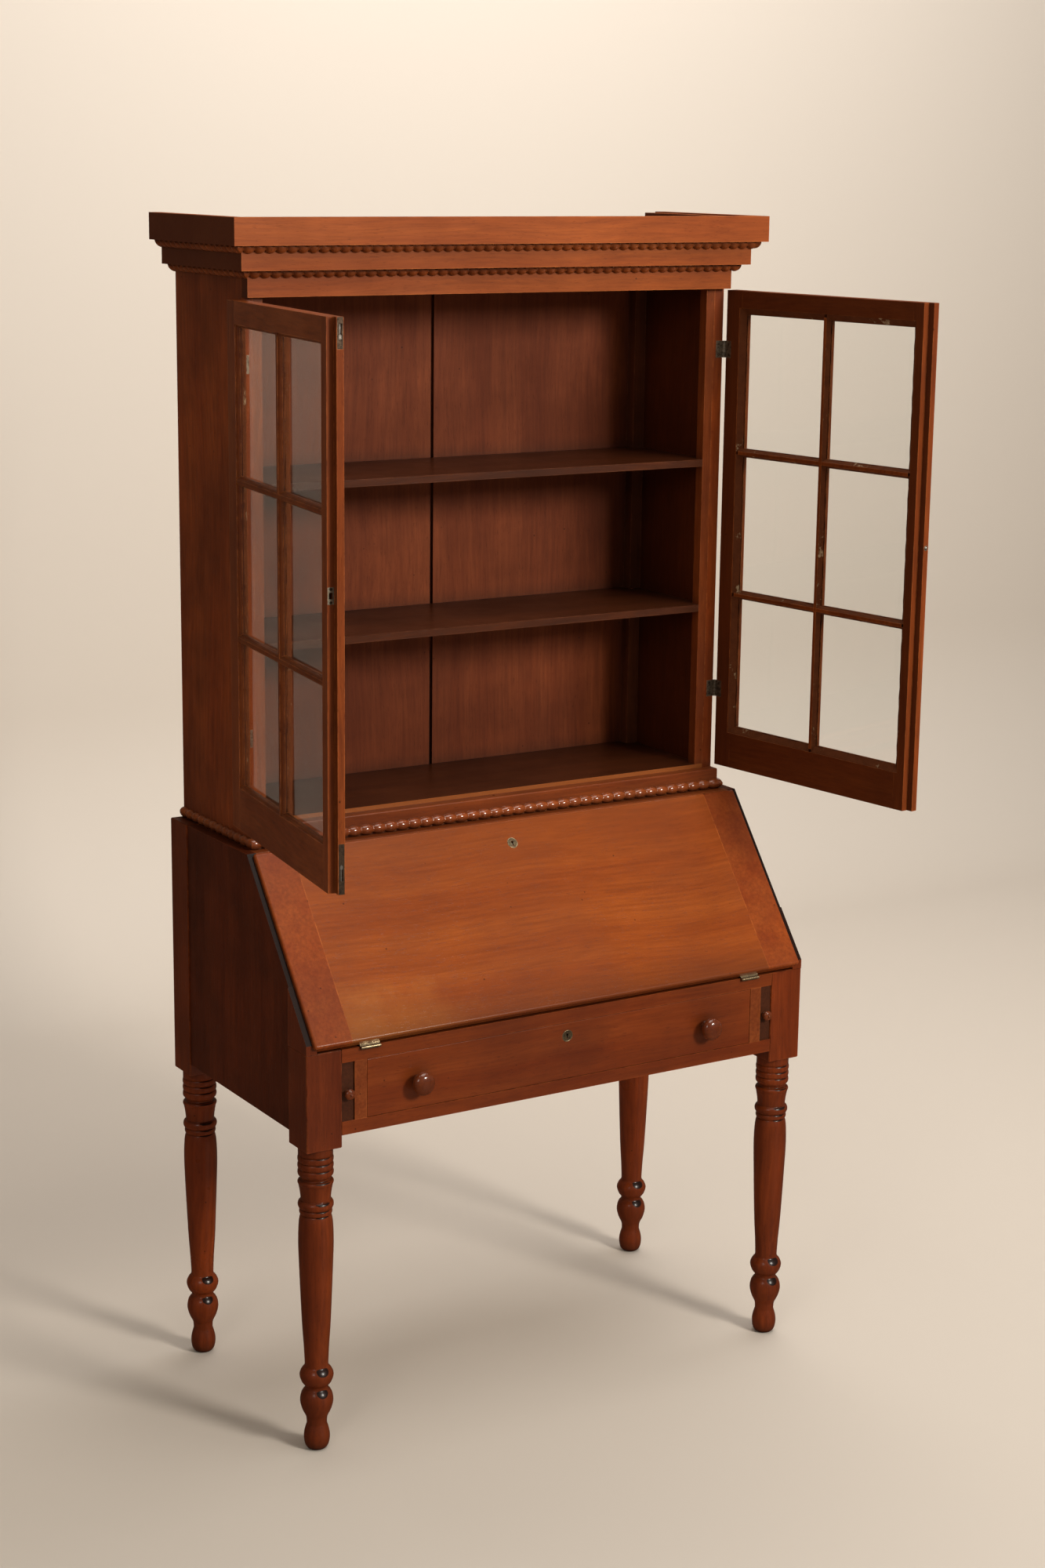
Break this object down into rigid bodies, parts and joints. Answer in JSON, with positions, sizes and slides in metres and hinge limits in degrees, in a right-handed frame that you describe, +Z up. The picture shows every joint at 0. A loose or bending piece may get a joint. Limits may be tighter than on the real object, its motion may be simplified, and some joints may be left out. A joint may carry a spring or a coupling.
{
  "type": "secretary desk",
  "caption": "Slant-front secretary desk on turned legs with a glazed two-door bookcase above, rope-carved cornice, long drawer, pull-out supports and both glass doors standing open",
  "frame": {"origin": "on the floor, at the middle of the whole object's box with both bookcase doors standing open 98 degrees", "axes": "+X to the right as seen from the front, +Y towards the back, +Z up"},
  "size_m": [1.1805, 0.7619, 2.1085],
  "materials": {
    "case_wood": "dark stained cherry, old shellac",
    "front_wood": "red-brown cherry, worn shellac",
    "leg_wood": "dark turned wood, polished",
    "inner_wood": "unpolished secondary wood",
    "glass": "old clear window glass",
    "aged_brass": "tarnished brass",
    "dark_iron": "dark bronzed hinge metal",
    "steel": "dull steel of bolts and ball"
  },
  "bodies": {
    "carcase": {"back_boards": "inner_wood", "back_left_leg": "leg_wood", "back_right_leg": "leg_wood", "base_band": "front_wood", "base_rope": "front_wood", "bookcase_floor": "inner_wood", "bookcase_sides": "case_wood", "bookcase_top_board": "inner_wood", "case_back_panel": "inner_wood", "case_door_hinges": "dark_iron", "case_fall_hinges": "dark_iron", "corner_strips": "inner_wood", "desk_top": "front_wood", "drawer_runners": "inner_wood", "face_stiles": "front_wood", "frieze": "front_wood", "front_left_leg": "leg_wood", "front_rails": "front_wood", "front_right_leg": "leg_wood", "loper_partitions": "case_wood", "lower_fascia": "front_wood", "lower_rope": "front_wood", "lower_shelf": "inner_wood", "pigeonhole_boards": "inner_wood", "pigeonhole_valances": "inner_wood", "side_panels": "case_wood", "upper_fascia": "front_wood", "upper_rope": "front_wood", "upper_shelf": "inner_wood", "writing_board": "front_wood"},
    "left_door": {"left_door_stiles": "front_wood", "left_door_rails": "front_wood", "left_glazing_bars": "front_wood", "left_door_panes": "glass", "left_door_hinges": "dark_iron", "strike_plate": "aged_brass", "flush_bolt_plates": "aged_brass"},
    "upper_flush_bolt": {"upper_flush_bolt": "steel"},
    "lower_flush_bolt": {"lower_flush_bolt": "steel"},
    "right_door": {"right_door_stiles": "front_wood", "right_door_rails": "front_wood", "right_glazing_bars": "front_wood", "right_door_panes": "glass", "right_door_hinges": "dark_iron", "catch_barrel": "aged_brass"},
    "catch_ball": {"catch_ball": "steel"},
    "fall": {"fall_board": "front_wood", "fall_end_boards": "front_wood", "fall_hinges": "dark_iron", "fall_lock": "aged_brass"},
    "drawer": {"drawer_front": "front_wood", "drawer_box": "inner_wood", "drawer_knobs": "front_wood", "drawer_lock": "aged_brass"},
    "left_loper": {"left_loper": "case_wood", "left_loper_knob": "front_wood"},
    "right_loper": {"right_loper": "case_wood", "right_loper_knob": "front_wood"},
    "left_small_drawer": {"left_small_drawer": "inner_wood"},
    "right_small_drawer": {"right_small_drawer": "inner_wood"}
  },
  "joints": [
    {"name": "right_door_hinge", "type": "hinge", "parent": "carcase", "child": "right_door", "pos_m": [0.497, 0.11661, 1.525], "axis": [0, 0, 1], "range_deg": [-98, 72]},
    {"name": "left_door_hinge", "type": "hinge", "parent": "carcase", "child": "left_door", "pos_m": [-0.497, 0.11661, 1.525], "axis": [0, 0, -1], "range_deg": [-98, 72]},
    {"name": "fall_hinge", "type": "hinge", "parent": "carcase", "child": "fall", "pos_m": [0, -0.1566, 0.7335], "axis": [1, 0, 0], "range_deg": [0, 128.24]},
    {"name": "drawer_slide", "type": "slide", "parent": "carcase", "child": "drawer", "axis": [0, -1, 0], "range_m": [0, 0.33]},
    {"name": "left_loper_slide", "type": "slide", "parent": "carcase", "child": "left_loper", "axis": [0, -1, 0], "range_m": [0, 0.3]},
    {"name": "right_loper_slide", "type": "slide", "parent": "carcase", "child": "right_loper", "axis": [0, -1, 0], "range_m": [0, 0.3]},
    {"name": "left_small_drawer_slide", "type": "slide", "parent": "carcase", "child": "left_small_drawer", "axis": [0, -1, 0], "range_m": [0, 0.12]},
    {"name": "right_small_drawer_slide", "type": "slide", "parent": "carcase", "child": "right_small_drawer", "axis": [0, -1, 0], "range_m": [0, 0.12]},
    {"name": "upper_bolt_slide", "type": "slide", "parent": "left_door", "child": "upper_flush_bolt", "axis": [0, 0, 1], "range_m": [0, 0.012]},
    {"name": "lower_bolt_slide", "type": "slide", "parent": "left_door", "child": "lower_flush_bolt", "axis": [0, 0, -1], "range_m": [0, 0.012]},
    {"name": "catch_ball_slide", "type": "slide", "parent": "right_door", "child": "catch_ball", "axis": [-0.1392, 0.9903, 0], "range_m": [0, 0.0022], "stiffness_N_per_m": 400}
  ]
}
